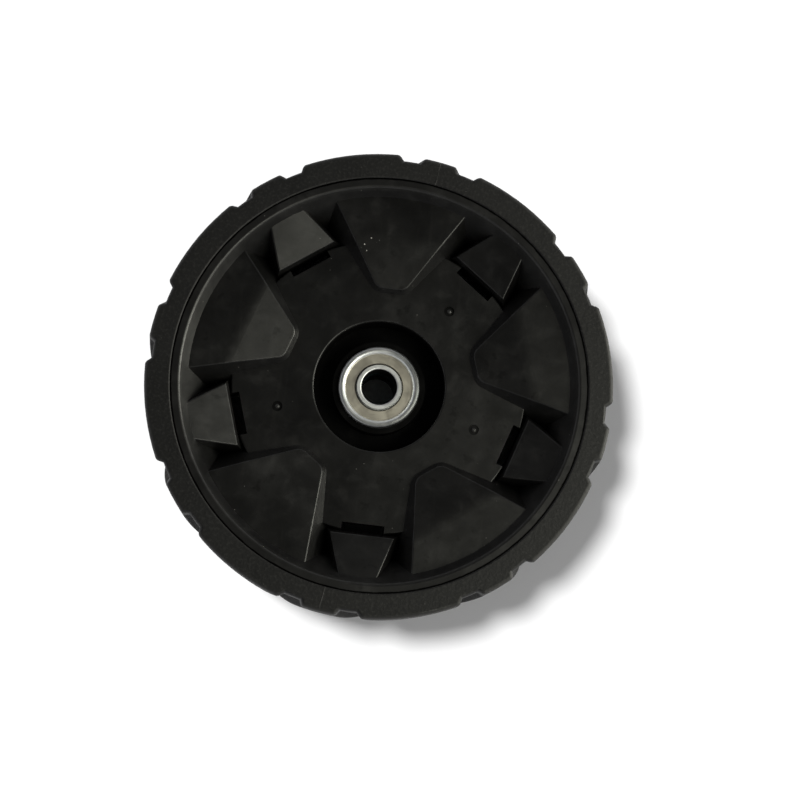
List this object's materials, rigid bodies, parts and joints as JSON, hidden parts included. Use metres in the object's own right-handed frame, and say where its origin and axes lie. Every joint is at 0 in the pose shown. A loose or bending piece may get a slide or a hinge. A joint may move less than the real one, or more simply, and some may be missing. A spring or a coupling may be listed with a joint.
{
  "type": "wheel",
  "caption": "Mower wheel with a lugged solid tyre on a dished, padded plastic wheel that turns on ball bearings around a plain bore for an axle bolt.",
  "frame": {"origin": "on the axle line, halfway across the tyre", "axes": "+Z along the axle line towards the dished front face, so the wheel lies on its rear side; +Y through the middle of one raised pad"},
  "size_m": [0.158, 0.158, 0.04],
  "materials": {
    "tyre": "fine matte moulded rubber",
    "wheel_plastic": "satin moulded plastic",
    "race_steel": "bright zinc plated",
    "shield_steel": "satin zinc plated sheet",
    "ball_steel": "polished",
    "cage_plastic": "natural moulded plastic",
    "spacer_steel": "cut tube"
  },
  "bodies": {
    "axle_sleeve": {"front_bearing_inner_race": "race_steel", "rear_bearing_inner_race": "race_steel", "bearing_spacer": "spacer_steel"},
    "wheel": {"tyre": "tyre", "wheel_body": "wheel_plastic", "front_bearing_outer_race": "race_steel", "front_bearing_outer_shield": "shield_steel", "front_bearing_inner_shield": "shield_steel", "rear_bearing_outer_race": "race_steel", "rear_bearing_outer_shield": "shield_steel", "rear_bearing_inner_shield": "shield_steel"},
    "front_ball_set": {"front_bearing_cage": "cage_plastic", "front_bearing_ball_1": "ball_steel", "front_bearing_ball_2": "ball_steel", "front_bearing_ball_3": "ball_steel", "front_bearing_ball_4": "ball_steel", "front_bearing_ball_5": "ball_steel", "front_bearing_ball_6": "ball_steel", "front_bearing_ball_7": "ball_steel"},
    "rear_ball_set": {"rear_bearing_cage": "cage_plastic", "rear_bearing_ball_1": "ball_steel", "rear_bearing_ball_2": "ball_steel", "rear_bearing_ball_3": "ball_steel", "rear_bearing_ball_4": "ball_steel", "rear_bearing_ball_5": "ball_steel", "rear_bearing_ball_6": "ball_steel", "rear_bearing_ball_7": "ball_steel"}
  },
  "joints": [
    {"name": "wheel_spin", "type": "hinge", "parent": "axle_sleeve", "child": "wheel", "pos_m": [0, 0, 0], "axis": [0, 0, 1], "continuous": true},
    {"name": "front_balls_orbit", "type": "hinge", "parent": "axle_sleeve", "child": "front_ball_set", "pos_m": [0, 0, 0.002], "axis": [0, 0, 1], "continuous": true},
    {"name": "rear_balls_orbit", "type": "hinge", "parent": "axle_sleeve", "child": "rear_ball_set", "pos_m": [0, 0, -0.0145], "axis": [0, 0, 1], "continuous": true}
  ],
  "couplings": [
    {"joint": "front_balls_orbit", "follows": "wheel_spin", "ratio": 0.61905},
    {"joint": "rear_balls_orbit", "follows": "wheel_spin", "ratio": 0.61905}
  ]
}
